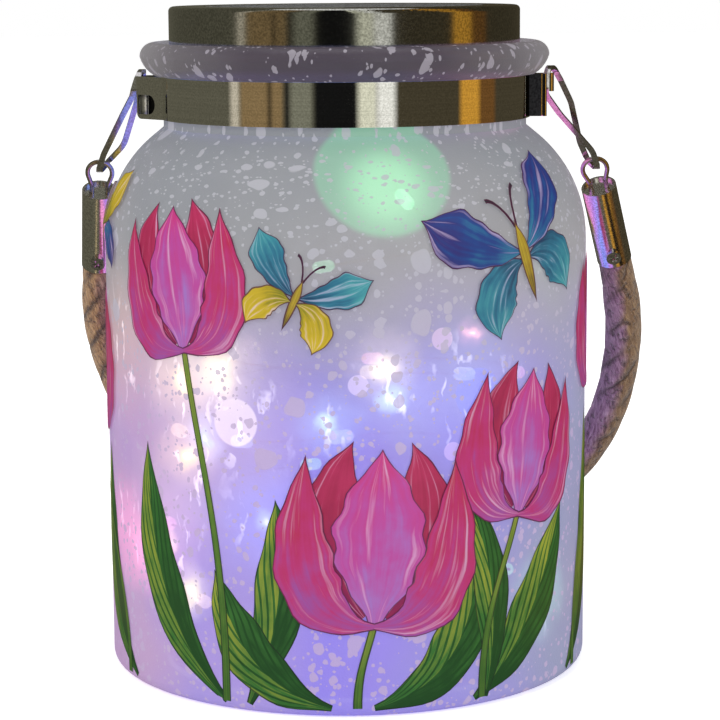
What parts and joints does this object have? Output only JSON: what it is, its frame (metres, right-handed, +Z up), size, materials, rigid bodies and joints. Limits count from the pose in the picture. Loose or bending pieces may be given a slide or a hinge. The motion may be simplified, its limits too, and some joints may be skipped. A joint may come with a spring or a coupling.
{
  "type": "mason jar lantern",
  "caption": "Frosted glass jar lantern with a solar screw lid, fairy lights inside, and a rope handle hung by links from a steel neck band.",
  "frame": {"origin": "middle of the jar's base, on the surface it stands on", "axes": "+Z up along the jar's axis, +X to the right ear seen from the front, front towards -Y"},
  "size_m": [0.1481, 0.1324, 0.1641],
  "materials": {
    "glass": "frosted, speckled",
    "steel": "brushed",
    "bright_steel": "drawn, satin",
    "rope": "twisted natural fibre",
    "white_plastic": "moulded",
    "dark_plastic": "moulded",
    "gasket_rubber": "soft",
    "clear_window": "clear",
    "solar_cells": "laminated cells",
    "screw_steel": "plated",
    "cell_sleeve": "shrink sleeve",
    "contact_metal": "nickel plated",
    "board": "solder mask",
    "copper_wire": "enamelled",
    "warm_light": "clear resin drop",
    "blue_light": "clear resin drop",
    "green_light": "clear resin drop",
    "pink_light": "clear resin drop"
  },
  "bodies": {
    "jar": {"jar_glass": "glass", "neck_band": "steel"},
    "lid": {"lid_insert": "white_plastic", "lid_gasket": "gasket_rubber", "panel_window": "clear_window", "solar_panel": "solar_cells", "module_housing": "white_plastic", "module_cover": "white_plastic", "cover_screws": "screw_steel", "battery_cell": "cell_sleeve", "battery_contacts": "contact_metal", "circuit_board": "board", "board_components": "dark_plastic", "switch_body": "dark_plastic", "wire_grommet": "dark_plastic", "fairy_wire": "copper_wire", "warm_leds": "warm_light", "blue_leds": "blue_light", "green_leds": "green_light", "pink_leds": "pink_light"},
    "cap": {"lid_cap": "steel"},
    "links": {"left_link": "bright_steel", "right_link": "bright_steel"},
    "handle": {"left_ring": "bright_steel", "right_ring": "bright_steel", "left_ferrule": "steel", "right_ferrule": "steel", "ferrule_screws": "screw_steel", "handle_rope": "rope"},
    "slider": {"switch_slider": "dark_plastic"}
  },
  "joints": [
    {"name": "lid_lift", "type": "slide", "parent": "jar", "child": "lid", "axis": [0, 0, 1], "range_m": [0, 0.04]},
    {"name": "lid_turn", "type": "hinge", "parent": "lid", "child": "cap", "pos_m": [0, 0, 0.16], "axis": [0, 0, 1], "continuous": true},
    {"name": "links_swing", "type": "hinge", "parent": "jar", "child": "links", "pos_m": [0, 0, 0.14495], "axis": [1, 0, 0], "range_deg": [0, 152]},
    {"name": "handle_swing", "type": "hinge", "parent": "links", "child": "handle", "pos_m": [0, 0.01062, 0.12497], "axis": [1, 0, 0], "range_deg": [0, 35]},
    {"name": "switch_slide", "type": "slide", "parent": "lid", "child": "slider", "axis": [1, 0, 0], "range_m": [0, 0.0025]}
  ]
}
